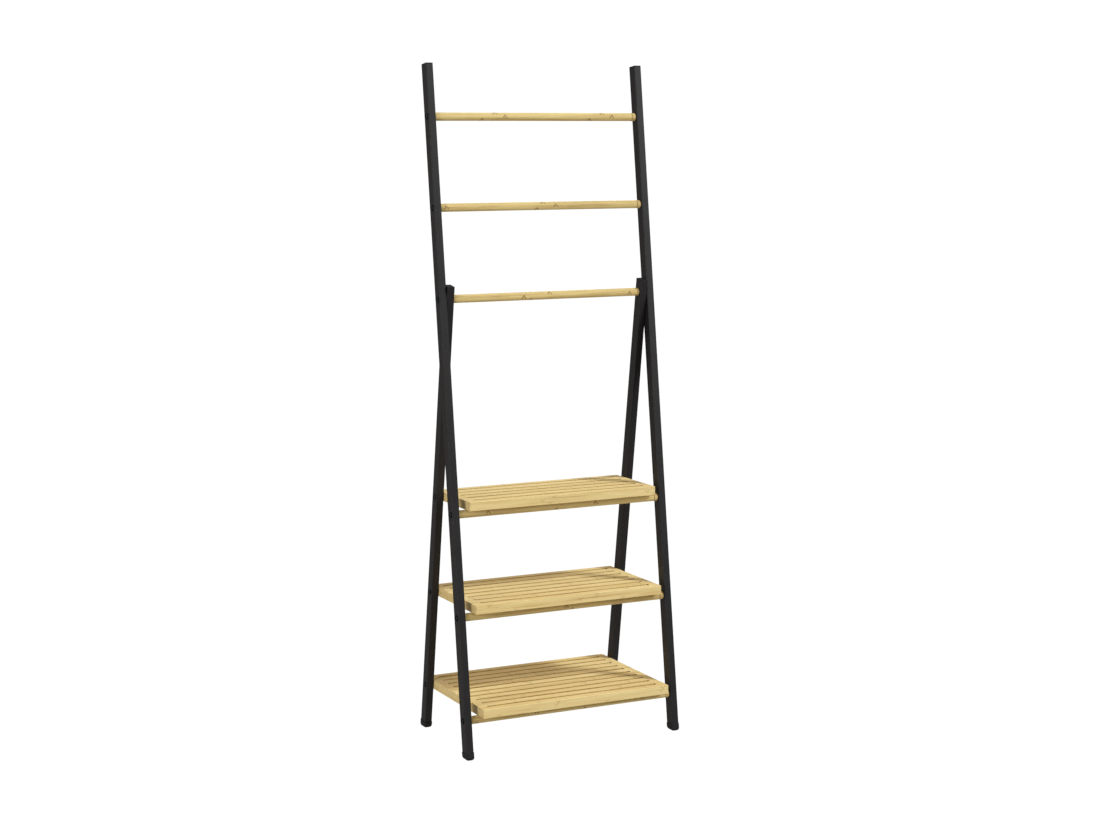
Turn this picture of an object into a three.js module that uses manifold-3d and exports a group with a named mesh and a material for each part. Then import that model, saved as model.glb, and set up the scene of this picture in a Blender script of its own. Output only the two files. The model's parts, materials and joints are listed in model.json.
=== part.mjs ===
// Folding towel rack: a tall ladder of two black tubes with bamboo rails leans back,
// a short rear frame is hinged to it at the third rail, and three slotted bamboo shelves
// turn on screws in the rear frame's legs and rest on the ladder's rungs.
// Millimetres, +X to the right, +Y to the back, +Z up, the floor at Z = 0.

import * as THREE from 'three';
import { mergeVertices } from 'three/addons/utils/BufferGeometryUtils.js';
import Module from 'manifold-3d';

// Driving dimensions: the two frames
const WIDTH_OVER_POSTS = 500;
const PIVOT_HEIGHT = 941;
const POST_LEAN_DEG = 7.2;
const LEG_LEAN_DEG = 8.8;
const POST_ABOVE_PIVOT = 484;
const LEG_ABOVE_PIVOT = 28;

// Driving dimensions: the black tube
const TUBE_WIDTH = 16;
const TUBE_DEPTH = 24;
const TUBE_WALL = 1.2;
const TUBE_CORNER = 1.6;
const TUBE_INSIDE_CORNER = 0.4;

// Driving dimensions: bamboo rails and rungs
const RAIL_DIAMETER = 17;
const RAIL_ROUNDING = 2;
const RAIL_BEAD = 9.5;
const HINGE_RAIL_BEAD = 4.5;
const GROOVE_WIDTH = 1.2;
const GROOVE_DEPTH = 0.6;
const UPPER_RAIL_ABOVE_PIVOT = 375;
const LOWER_RAIL_ABOVE_PIVOT = 188;

// Driving dimensions: shelves, each with the height of its top, its overhang in front of
// the rung and its margin behind the screws
const TOP_SHELF_HEIGHT = 529;
const TOP_SHELF_OVERHANG = 25.5;
const TOP_SHELF_MARGIN = 29;
const MIDDLE_SHELF_HEIGHT = 318;
const MIDDLE_SHELF_OVERHANG = 27;
const MIDDLE_SHELF_MARGIN = 27;
const BOTTOM_SHELF_HEIGHT = 107;
const BOTTOM_SHELF_OVERHANG = 33.5;
const BOTTOM_SHELF_MARGIN = 33.5;
const SHELF_THICKNESS = 19;
const SHELF_CORNER = 2;
const SHELF_CHAMFER = 1;
const SLOT_WIDTH = 7;
const SLOT_FROM_END = 18.5;
const SLOT_FROM_EDGE = 22.5;

// Driving dimensions: bolts, screws and washers
const BOLT = { shank: 6, head: 13, headHeight: 3, socket: 4, socketDepth: 1.6, grip: 24 };
const SCREW = { shank: 5, head: 12, headHeight: 2.6, socket: 3, socketDepth: 1.3, grip: 15 };
const HEAD_PROFILE = { rim: 0.35, shoulder: 0.8, shoulderWidth: 0.8, crownWidth: 0.5 };
const WASHER_DIAMETER = 14;
const WASHER_THICKNESS = 0.5;

// Driving dimensions: plastic feet and end plugs
const FOOT_HEIGHT = 15;
const FOOT_WALL = 0.8;
const FOOT_SOLE = 5;
const FOOT_CORNER = 2.6;
const SOLE_EDGE = { inset: 4, height: 7 };
const PLUG_PLATE = 1.5;
const PLUG_INSERT = 12;

// Clearances
const SLIP_GAP = 0.3;
const CAP_GAP = 0.2;
const BORE_GAP = 1;

// Vertices nearer than this are one
const MERGE_DISTANCE = 1e-4;

// Facets of round pieces
const RAIL_SIDES = 20;
const BOLT_SIDES = 12;
const BORE_SIDES = 12;
const CORNER_STEPS = 2;
const FOOT_CORNER_STEPS = 3;
const SOLE_EDGE_STEPS = 4;
const SLOT_END_STEPS = 4;
const SOCKET_SIDES = 6;

// Worked out from the driving dimensions
const POST_LEAN = THREE.MathUtils.degToRad(POST_LEAN_DEG);
const LEG_LEAN = THREE.MathUtils.degToRad(LEG_LEAN_DEG);
const RAIL_RADIUS = RAIL_DIAMETER / 2;
const POST_OUTER_X = WIDTH_OVER_POSTS / 2;
const POST_INNER_X = POST_OUTER_X - TUBE_WIDTH;
const LEG_OUTER_X = POST_INNER_X - WASHER_THICKNESS;
const LEG_INNER_X = LEG_OUTER_X - TUBE_WIDTH;
const SHELF_HALF_WIDTH = LEG_INNER_X - WASHER_THICKNESS;
const SIDES = [{ side: 'left', sign: -1 }, { side: 'right', sign: 1 }];
const SHELVES = [
  {
    name: 'top',
    slots: 5,
    topHeight: TOP_SHELF_HEIGHT,
    frontOverhang: TOP_SHELF_OVERHANG,
    rearMargin: TOP_SHELF_MARGIN,
  },
  {
    name: 'middle',
    slots: 7,
    topHeight: MIDDLE_SHELF_HEIGHT,
    frontOverhang: MIDDLE_SHELF_OVERHANG,
    rearMargin: MIDDLE_SHELF_MARGIN,
  },
  {
    name: 'bottom',
    slots: 10,
    topHeight: BOTTOM_SHELF_HEIGHT,
    frontOverhang: BOTTOM_SHELF_OVERHANG,
    rearMargin: BOTTOM_SHELF_MARGIN,
  },
];

const FINISH = {
  paint: { color: 0x2b2b2c, roughness: 0.45, metalness: 0.3 },
  plastic: { color: 0x1c1c1d, roughness: 0.6, metalness: 0 },
  hardware: { color: 0x232324, roughness: 0.4, metalness: 0.6 },
  nylon: { color: 0x303032, roughness: 0.5, metalness: 0 },
  bamboo: { color: 0xd9c48c, roughness: 0.55, metalness: 0 },
};

const manifold = await Module();
manifold.setup();

// A named mesh in one of the finishes
function piece(name, geometry, finish) {
  const mesh = new THREE.Mesh(geometry, new THREE.MeshStandardMaterial(FINISH[finish]));
  mesh.name = name;
  return mesh;
}

// A closed geometry as a solid that can be joined and cut
function toSolid(geometry) {
  const bare = geometry.index ? geometry.toNonIndexed() : geometry.clone();
  bare.deleteAttribute('normal');
  bare.deleteAttribute('uv');
  const merged = mergeVertices(bare, MERGE_DISTANCE);
  return new manifold.Manifold(new manifold.Mesh({
    numProp: 3,
    vertProperties: new Float32Array(merged.attributes.position.array),
    triVerts: new Uint32Array(merged.index.array),
  }));
}

// A solid back as a geometry
function toGeometry(solid) {
  const mesh = solid.getMesh();
  const geometry = new THREE.BufferGeometry();
  geometry.setAttribute('position', new THREE.BufferAttribute(new Float32Array(mesh.vertProperties), 3));
  geometry.setIndex(new THREE.BufferAttribute(new Uint32Array(mesh.triVerts), 1));
  geometry.computeVertexNormals();
  return geometry;
}

// A geometry with several tools cut out of it
function cut(geometry, tools) {
  const body = tools.reduce((solid, tool) => solid.subtract(toSolid(tool)), toSolid(geometry));
  return toGeometry(body);
}

// A rounded rectangle centred on the origin, as a closed path of straight sides and arcs
function roundedRectangle(target, width, depth, corner) {
  const x = width / 2 - corner;
  const y = depth / 2 - corner;
  target.absarc(x, y, corner, 0, Math.PI / 2, false);
  target.absarc(-x, y, corner, Math.PI / 2, Math.PI, false);
  target.absarc(-x, -y, corner, Math.PI, 1.5 * Math.PI, false);
  target.absarc(x, -y, corner, 1.5 * Math.PI, 2 * Math.PI, false);
  target.closePath();
  return target;
}

// A straight drill along X, centred on x, for a bore through or into a piece
function drill(diameter, length, x, y, z) {
  const geometry = new THREE.CylinderGeometry(diameter / 2, diameter / 2, length, BORE_SIDES);
  geometry.rotateZ(Math.PI / 2);
  geometry.translate(x, y, z);
  return geometry;
}

// How far along a leaning bar its axis meets a height above the floor
function alongBar(height, lean) {
  return (height - PIVOT_HEIGHT) / Math.cos(lean);
}

// Turns a bar's square lower end level with the floor: turn is the bar's rotation about X
function levelLowerEnd(geometry, turn, below) {
  const position = geometry.attributes.position;
  for (let i = 0; i < position.count; i += 1) {
    if (position.getZ(i) < below) {
      position.setZ(i, position.getZ(i) - position.getY(i) * Math.tan(turn));
    }
  }
  return geometry;
}

// A hollow tube along Z with its lower end level, drilled through at each height in bores
function tubeGeometry(lower, upper, turn, bores) {
  const shape = roundedRectangle(new THREE.Shape(), TUBE_WIDTH, TUBE_DEPTH, TUBE_CORNER);
  const inside = roundedRectangle(
    new THREE.Path(),
    TUBE_WIDTH - 2 * TUBE_WALL,
    TUBE_DEPTH - 2 * TUBE_WALL,
    TUBE_INSIDE_CORNER,
  );
  shape.holes.push(inside);
  const geometry = new THREE.ExtrudeGeometry(shape, {
    depth: upper - lower,
    bevelEnabled: false,
    curveSegments: CORNER_STEPS,
  });
  geometry.translate(0, 0, lower);
  levelLowerEnd(geometry, turn, (lower + upper) / 2);
  const tools = bores.map(({ z, diameter }) => drill(diameter, 2 * TUBE_WIDTH, 0, 0, z));
  return cut(geometry, tools);
}

// The flush plug in a tube's upper end: a plate over the tube and an insert inside it
function plugGeometry(tubeTop) {
  const plate = new THREE.ExtrudeGeometry(
    roundedRectangle(new THREE.Shape(), TUBE_WIDTH, TUBE_DEPTH, TUBE_CORNER),
    { depth: PLUG_PLATE, bevelEnabled: false, curveSegments: CORNER_STEPS },
  );
  plate.translate(0, 0, tubeTop + SLIP_GAP);
  const insetFromOutside = 2 * (TUBE_WALL + SLIP_GAP);
  const insert = new THREE.ExtrudeGeometry(
    roundedRectangle(
      new THREE.Shape(),
      TUBE_WIDTH - insetFromOutside,
      TUBE_DEPTH - insetFromOutside,
      TUBE_INSIDE_CORNER,
    ),
    { depth: PLUG_INSERT + PLUG_PLATE, bevelEnabled: false, curveSegments: CORNER_STEPS },
  );
  insert.translate(0, 0, tubeTop + SLIP_GAP - PLUG_INSERT);
  return toGeometry(toSolid(plate).add(toSolid(insert)));
}

// The slip-on foot's outside: a convex block whose faces round over into a level sole
function footBlock(floor, turn) {
  const grow = 2 * (CAP_GAP + FOOT_WALL);
  const rings = Array.from({ length: SOLE_EDGE_STEPS + 1 }, (_, i) => {
    const angle = (i / SOLE_EDGE_STEPS) * (Math.PI / 2);
    return {
      inset: SOLE_EDGE.inset * (1 - Math.sin(angle)),
      z: floor + SOLE_EDGE.height * (1 - Math.cos(angle)),
    };
  });
  rings.push({ inset: 0, z: floor + FOOT_HEIGHT });
  const points = rings.flatMap(({ inset, z }) => roundedRectangle(
    new THREE.Shape(),
    TUBE_WIDTH + grow - 2 * inset,
    TUBE_DEPTH + grow - 2 * inset,
    FOOT_CORNER,
  ).getPoints(FOOT_CORNER_STEPS).map((p) => new THREE.Vector3(p.x, p.y, z)));
  const block = new THREE.BufferGeometry().setFromPoints(points);
  levelLowerEnd(block, turn, floor + FOOT_HEIGHT / 2);
  const position = block.attributes.position;
  const corners = points.map((_, i) => [position.getX(i), position.getY(i), position.getZ(i)]);
  return toGeometry(manifold.Manifold.hull(corners));
}

// The slip-on foot: a cup around the tube's lower end with a rounded level sole
function footGeometry(floor, tubeLower, turn) {
  const pocket = new THREE.ExtrudeGeometry(
    roundedRectangle(
      new THREE.Shape(),
      TUBE_WIDTH + 2 * CAP_GAP,
      TUBE_DEPTH + 2 * CAP_GAP,
      TUBE_CORNER,
    ),
    { depth: 2 * FOOT_HEIGHT, bevelEnabled: false, curveSegments: CORNER_STEPS },
  );
  pocket.translate(0, 0, tubeLower - SLIP_GAP);
  levelLowerEnd(pocket, turn, tubeLower + FOOT_HEIGHT);
  return cut(footBlock(floor, turn), [pocket]);
}

// A bamboo dowel along X with rounded ends, a turned groove behind the bead at each end,
// and a blind bore in each end
function dowelGeometry(length, bead, boreDiameter, boreDepth) {
  const half = length / 2;
  const bore = boreDiameter / 2;
  const shoulder = RAIL_ROUNDING * (1 - Math.SQRT1_2);
  const end = [
    [0, half - boreDepth],
    [bore, half - boreDepth],
    [bore, half],
    [RAIL_RADIUS - RAIL_ROUNDING, half],
    [RAIL_RADIUS - shoulder, half - shoulder],
    [RAIL_RADIUS, half - RAIL_ROUNDING],
    [RAIL_RADIUS, half - bead + GROOVE_WIDTH / 2],
    [RAIL_RADIUS - GROOVE_DEPTH, half - bead],
    [RAIL_RADIUS, half - bead - GROOVE_WIDTH / 2],
  ];
  const mirrored = end.map(([r, z]) => [r, -z]);
  const outline = [...mirrored, ...end.reverse()].map(([r, z]) => new THREE.Vector2(r, z));
  const geometry = new THREE.LatheGeometry(outline, RAIL_SIDES);
  geometry.rotateZ(Math.PI / 2);
  return geometry;
}

// A button-head bolt along X, its head out to the side that sign names, seated at x = 0
function boltGeometry(kind, length, sign) {
  const shank = kind.shank / 2;
  const head = kind.head / 2;
  const top = kind.headHeight;
  const outline = [
    [0, -length],
    [shank, -length],
    [shank, 0],
    [head, 0],
    [head, top * HEAD_PROFILE.rim],
    [head * HEAD_PROFILE.shoulderWidth, top * HEAD_PROFILE.shoulder],
    [head * HEAD_PROFILE.crownWidth, top],
    [0, top],
  ].map(([r, z]) => new THREE.Vector2(r, z));
  const turned = new THREE.LatheGeometry(outline, BOLT_SIDES);
  const corner = kind.socket / 2 / Math.cos(Math.PI / SOCKET_SIDES);
  const socket = new THREE.CylinderGeometry(corner, corner, 2 * kind.socketDepth, SOCKET_SIDES);
  socket.translate(0, top, 0);
  const geometry = cut(turned, [socket]);
  geometry.rotateZ(-sign * Math.PI / 2);
  return geometry;
}

// A flat ring along X, centred on x = 0
function washerGeometry(boreDiameter) {
  const half = WASHER_THICKNESS / 2;
  const inner = boreDiameter / 2;
  const outer = WASHER_DIAMETER / 2;
  const outline = [
    [inner, -half],
    [outer, -half],
    [outer, half],
    [inner, half],
    [inner, -half],
  ].map(([r, z]) => new THREE.Vector2(r, z));
  const geometry = new THREE.LatheGeometry(outline, BOLT_SIDES);
  geometry.rotateZ(Math.PI / 2);
  return geometry;
}

// Where a shelf, its rung and its screws lie: y from the pivot's plumb line, z above the floor
function shelfPlaces(shelf) {
  const bottom = shelf.topHeight - SHELF_THICKNESS;
  const screwZ = bottom + SHELF_THICKNESS / 2;
  const screwY = (PIVOT_HEIGHT - screwZ) * Math.tan(LEG_LEAN);
  const rungZ = bottom - SLIP_GAP - RAIL_RADIUS;
  const rungY = (rungZ - PIVOT_HEIGHT) * Math.tan(POST_LEAN);
  return {
    bottom,
    screwY,
    screwZ,
    rungY,
    rungZ,
    frontY: rungY - shelf.frontOverhang,
    rearY: screwY + shelf.rearMargin,
  };
}

// The slots of a shelf as closed paths, evenly spaced between its front and rear boards
function slotPaths(shelf, places) {
  const depth = places.rearY - places.frontY;
  const pitch = (depth - 2 * SLOT_FROM_EDGE) / (shelf.slots - 1);
  const radius = SLOT_WIDTH / 2;
  const reach = SHELF_HALF_WIDTH - SLOT_FROM_END - radius;
  return Array.from({ length: shelf.slots }, (_, i) => {
    const y = places.frontY + SLOT_FROM_EDGE + i * pitch;
    const path = new THREE.Path();
    path.absarc(reach, y, radius, -Math.PI / 2, Math.PI / 2, false);
    path.absarc(-reach, y, radius, Math.PI / 2, 1.5 * Math.PI, false);
    path.closePath();
    return path;
  });
}

// A slotted shelf board with eased edges and a screw bore in each end
function shelfGeometry(shelf, places) {
  const outline = roundedRectangle(
    new THREE.Shape(),
    2 * SHELF_HALF_WIDTH,
    places.rearY - places.frontY,
    SHELF_CORNER,
  );
  const middleY = (places.rearY + places.frontY) / 2;
  const board = new THREE.Shape(outline.getPoints(CORNER_STEPS).map((p) => p.setY(p.y + middleY)));
  board.holes.push(...slotPaths(shelf, places));
  const geometry = new THREE.ExtrudeGeometry(board, {
    depth: SHELF_THICKNESS - 2 * SHELF_CHAMFER,
    bevelEnabled: true,
    bevelThickness: SHELF_CHAMFER,
    bevelSize: SHELF_CHAMFER,
    bevelOffset: -SHELF_CHAMFER,
    bevelSegments: 1,
    curveSegments: SLOT_END_STEPS,
  });
  geometry.translate(0, 0, places.bottom + SHELF_CHAMFER);
  const boreLength = SCREW.grip + BORE_GAP;
  const bores = SIDES.map(({ sign }) => drill(
    SCREW.shank + 2 * SLIP_GAP,
    2 * boreLength,
    sign * SHELF_HALF_WIDTH,
    places.screwY,
    places.screwZ,
  ));
  return cut(geometry, bores);
}

// A leaning frame's group, with its origin on the pivot line and its bars along Z
function leaningFrame(turn) {
  const group = new THREE.Group();
  group.position.z = PIVOT_HEIGHT;
  group.rotation.x = turn;
  return group;
}

// One leaning bar: tube, plug and foot, at x
function addBar(group, names, x, turn, abovePivot, bores) {
  const lean = Math.abs(turn);
  const tubeTop = abovePivot - PLUG_PLATE - SLIP_GAP;
  const tubeLower = alongBar(FOOT_SOLE + SLIP_GAP, lean);
  const floor = alongBar(0, lean);
  const parts = [
    piece(names.tube, tubeGeometry(tubeLower, tubeTop, turn, bores), 'paint'),
    piece(names.plug, plugGeometry(tubeTop), 'plastic'),
    piece(names.foot, footGeometry(floor, tubeLower, turn), 'plastic'),
  ];
  for (const part of parts) {
    part.position.x = x;
    group.add(part);
  }
}

// A dowel across a frame, out to endX each way, with a bolt from each post's outer face into it
function addRail(group, rail) {
  const boreDepth = BOLT.grip + BORE_GAP;
  const boreDiameter = BOLT.shank + 2 * SLIP_GAP;
  const geometry = dowelGeometry(2 * rail.endX, rail.bead, boreDiameter, boreDepth);
  const dowel = piece(rail.name, geometry, 'bamboo');
  dowel.position.set(0, 0, rail.z);
  group.add(dowel);
  for (const { side, sign } of SIDES) {
    const length = POST_OUTER_X - rail.endX + BOLT.grip;
    const bolt = piece(`${rail.name}_bolt_${side}`, boltGeometry(BOLT, length, sign), 'hardware');
    bolt.position.set(sign * POST_OUTER_X, 0, rail.z);
    group.add(bolt);
  }
}

// The tall front frame: two posts, two towel rails and a rung for each shelf
function buildLadder() {
  const turn = -POST_LEAN;
  const group = leaningFrame(turn);
  const rails = [
    { name: 'upper_towel_rail', z: UPPER_RAIL_ABOVE_PIVOT },
    { name: 'lower_towel_rail', z: LOWER_RAIL_ABOVE_PIVOT },
    ...SHELVES.map((shelf) => ({
      name: `${shelf.name}_rung`,
      z: alongBar(shelfPlaces(shelf).rungZ, POST_LEAN),
    })),
  ];
  const boltBore = BOLT.shank + 2 * SLIP_GAP;
  const bores = [{ z: 0 }, ...rails].map(({ z }) => ({ z, diameter: boltBore }));
  for (const { side, sign } of SIDES) {
    const names = { tube: `post_${side}`, plug: `post_plug_${side}`, foot: `post_foot_${side}` };
    addBar(group, names, sign * (POST_OUTER_X - TUBE_WIDTH / 2), turn, POST_ABOVE_PIVOT, bores);
  }
  for (const rail of rails) {
    addRail(group, { ...rail, endX: POST_INNER_X, bead: RAIL_BEAD });
  }
  return group;
}

// The short rear frame: two legs joined by the hinge rail, with washers against the posts
function buildRearFrame() {
  const turn = LEG_LEAN;
  const group = leaningFrame(turn);
  const boltBore = BOLT.shank + 2 * SLIP_GAP;
  const screwBore = SCREW.shank + 2 * SLIP_GAP;
  const bores = [
    { z: 0, diameter: boltBore },
    ...SHELVES.map((shelf) => ({
      z: alongBar(shelfPlaces(shelf).screwZ, LEG_LEAN),
      diameter: screwBore,
    })),
  ];
  for (const { side, sign } of SIDES) {
    const names = { tube: `leg_${side}`, plug: `leg_plug_${side}`, foot: `leg_foot_${side}` };
    addBar(group, names, sign * (LEG_OUTER_X - TUBE_WIDTH / 2), turn, LEG_ABOVE_PIVOT, bores);
    const washer = piece(`hinge_washer_${side}`, washerGeometry(boltBore), 'nylon');
    washer.position.x = sign * (LEG_OUTER_X + WASHER_THICKNESS / 2);
    group.add(washer);
  }
  addRail(group, { name: 'hinge_rail', z: 0, endX: LEG_INNER_X, bead: HINGE_RAIL_BEAD });
  return group;
}

// One shelf with the screws and washers it turns on
function buildShelf(shelf) {
  const group = new THREE.Group();
  const places = shelfPlaces(shelf);
  const prefix = `${shelf.name}_shelf`;
  group.add(piece(prefix, shelfGeometry(shelf, places), 'bamboo'));
  const screwBore = SCREW.shank + 2 * SLIP_GAP;
  const screwLength = TUBE_WIDTH + WASHER_THICKNESS + SCREW.grip;
  for (const { side, sign } of SIDES) {
    const screw = piece(`${prefix}_screw_${side}`, boltGeometry(SCREW, screwLength, sign), 'hardware');
    screw.position.set(sign * LEG_OUTER_X, places.screwY, places.screwZ);
    const washer = piece(`${prefix}_washer_${side}`, washerGeometry(screwBore), 'nylon');
    washer.position.set(sign * (LEG_INNER_X - WASHER_THICKNESS / 2), places.screwY, places.screwZ);
    group.add(screw, washer);
  }
  return group;
}

// The whole rack, moved so that its origin is on the floor below the middle of its box
function buildRack() {
  const rack = new THREE.Group();
  rack.add(buildLadder(), buildRearFrame(), ...SHELVES.map(buildShelf));
  rack.updateMatrixWorld(true);
  const box = new THREE.Box3().setFromObject(rack, true);
  rack.position.y = -(box.min.y + box.max.y) / 2;
  return rack;
}

export default buildRack();
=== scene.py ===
"""Looks of the folding towel rack: tubes, dowels, slotted boards, fittings, studio and camera."""

import json
import logging
import math
from collections.abc import Mapping, Sequence
from dataclasses import dataclass
from enum import Enum

import bmesh
import bpy
import numpy as np
from mathutils import Matrix, Vector


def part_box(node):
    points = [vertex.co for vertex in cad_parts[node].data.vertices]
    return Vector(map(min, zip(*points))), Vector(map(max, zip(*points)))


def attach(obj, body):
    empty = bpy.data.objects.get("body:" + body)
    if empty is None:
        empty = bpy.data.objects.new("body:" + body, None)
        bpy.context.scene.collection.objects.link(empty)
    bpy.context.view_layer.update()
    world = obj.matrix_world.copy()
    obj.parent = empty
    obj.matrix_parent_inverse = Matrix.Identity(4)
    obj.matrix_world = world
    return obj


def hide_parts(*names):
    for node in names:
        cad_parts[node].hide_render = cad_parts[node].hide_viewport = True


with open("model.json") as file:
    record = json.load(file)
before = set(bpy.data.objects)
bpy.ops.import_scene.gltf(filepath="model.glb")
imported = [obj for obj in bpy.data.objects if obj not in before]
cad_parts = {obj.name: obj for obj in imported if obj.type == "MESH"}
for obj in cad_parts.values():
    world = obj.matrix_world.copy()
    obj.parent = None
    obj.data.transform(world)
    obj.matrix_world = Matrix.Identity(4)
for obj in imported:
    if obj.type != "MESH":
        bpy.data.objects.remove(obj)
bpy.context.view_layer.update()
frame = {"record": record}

MM = 0.001
MERGE_DISTANCE = 0.002 * MM
SHARP_ANGLE = math.radians(50)
QUARTER = math.pi / 2
GRAIN_MAP = "Grain"
ORIGIN_2D = np.zeros(2)
# Clearances of the assembly, in millimetres.
SLIP_GAP = 0.3
BORE_GAP = 1.0
# A little over one, so that floor and backdrop both come out as plain white.
WHITE_STRENGTH = 1.03

log = logging.getLogger("towel_rack")


class Side(Enum):
    """The two sides of the rack, with the sign of X there."""

    LEFT = -1
    RIGHT = 1

    @property
    def word(self) -> str:
        """The side as it stands in the names of nodes."""
        return self.name.lower()


class Slot(Enum):
    """The material slots of the record that pieces take their finish from."""

    PAINT = "black_paint"
    BAMBOO = "bamboo"
    PLASTIC = "black_plastic"
    HARDWARE = "black_hardware"
    NYLON = "washer_nylon"


class Tone(Enum):
    """The tones of bamboo. Faces, dowels and edges have the wood's own tones. The slot walls, the
    slot ends, and the bead and groove at each dowel's +X end are darker as painted shade. Other stock
    has one.
    """

    FACE = "planed boards"
    DOWEL = "turned dowels"
    EDGE = "edges of the boards"
    # Painted shade in the slots: their long walls and round ends are darker than the faces.
    ROUTED = "long walls of routed slots"
    SLOT_END = "round ends of routed slots"
    # Painted shade at each dowel's +X end, next to the right post: a darker bead and a dark groove.
    BEAD = "turned ends"
    SEAM = "grooves behind the turned ends"


# Shader helpers


def linear(code: str) -> tuple[float, float, float, float]:
    """Turns an sRGB hex colour into linear RGBA.

    A channel c up to 0.04045 becomes c / 12.92, and above it ((c + 0.055) / 1.055) ** 2.4.

    Args:
        code: The colour as six hex digits.

    Returns:
        Red, green, blue and an alpha of one.
    """
    channels = np.array([int(code[start:start + 2], 16) for start in (0, 2, 4)]) / 255
    low = channels / 12.92
    high = ((channels + 0.055) / 1.055) ** 2.4
    return (*np.where(channels <= 0.04045, low, high).tolist(), 1.0)


def add_node(
    tree: bpy.types.NodeTree, kind: str, inputs: Mapping[str | int, object], **options: object
) -> bpy.types.Node:
    """Adds a shader node with its options and inputs.

    Args:
        tree: The node tree that gets the node.
        kind: The node's Blender type.
        inputs: For each input, the socket that feeds it or its fixed value.
        options: The node's own settings.

    Returns:
        The new node.
    """
    node = tree.nodes.new(kind)
    for option, value in options.items():
        setattr(node, option, value)
    for key, value in inputs.items():
        if isinstance(value, bpy.types.NodeSocket):
            tree.links.new(value, node.inputs[key])
        else:
            node.inputs[key].default_value = value
    return node


def set_stops(ramp: bpy.types.Node, stops: Sequence[tuple[float, str]]) -> bpy.types.NodeSocket:
    """Gives a new ramp, which has two stops, its own stops.

    Args:
        ramp: The ramp's node.
        stops: Positions with their sRGB hex colours, in rising order.

    Returns:
        The ramp's colour.
    """
    elements = ramp.color_ramp.elements
    for position, _ in stops[2:]:
        elements.new(position)
    for element, (position, code) in zip(elements, stops):
        element.position = position
        element.color = linear(code)
    return ramp.outputs["Color"]


@dataclass(frozen=True)
class Pattern:
    """Noise on Object coordinates whose spots have a real size along each axis."""

    size_mm: tuple[float, float, float]
    detail: float = 2.0
    roughness: float = 0.5

    def add(self, tree: bpy.types.NodeTree) -> bpy.types.NodeSocket:
        """Adds the noise. Coordinates divided by the spots' size give it its scale.

        Args:
            tree: The node tree that gets it.

        Returns:
            The noise value, about 0 to 1.
        """
        place = add_node(tree, "ShaderNodeTexCoord", {}).outputs["Object"]
        scale = [1 / (size * MM) for size in self.size_mm]
        scaled = add_node(tree, "ShaderNodeMapping", {"Vector": place, "Scale": scale})
        noise = add_node(tree, "ShaderNodeTexNoise", {
            "Vector": scaled.outputs["Vector"],
            "Scale": 1.0,
            "Detail": self.detail,
            "Roughness": self.roughness,
        })
        return noise.outputs["Fac"]


# Finishes


@dataclass(frozen=True)
class Finish:
    """A finish of the rack: a named material that ends in one principled shader."""

    name: str

    def inputs(self, tree: bpy.types.NodeTree) -> dict[str, object]:
        """Adds the finish's patterns and gives what feeds the shader."""
        raise NotImplementedError

    def build(self) -> bpy.types.Material:
        """Builds the material.

        Returns:
            The material.
        """
        material = bpy.data.materials.new(self.name)
        material.use_nodes = True
        tree = material.node_tree
        tree.nodes.clear()
        shader = add_node(tree, "ShaderNodeBsdfPrincipled", self.inputs(tree))
        add_node(tree, "ShaderNodeOutputMaterial", {"Surface": shader.outputs["BSDF"]})
        return material


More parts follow.
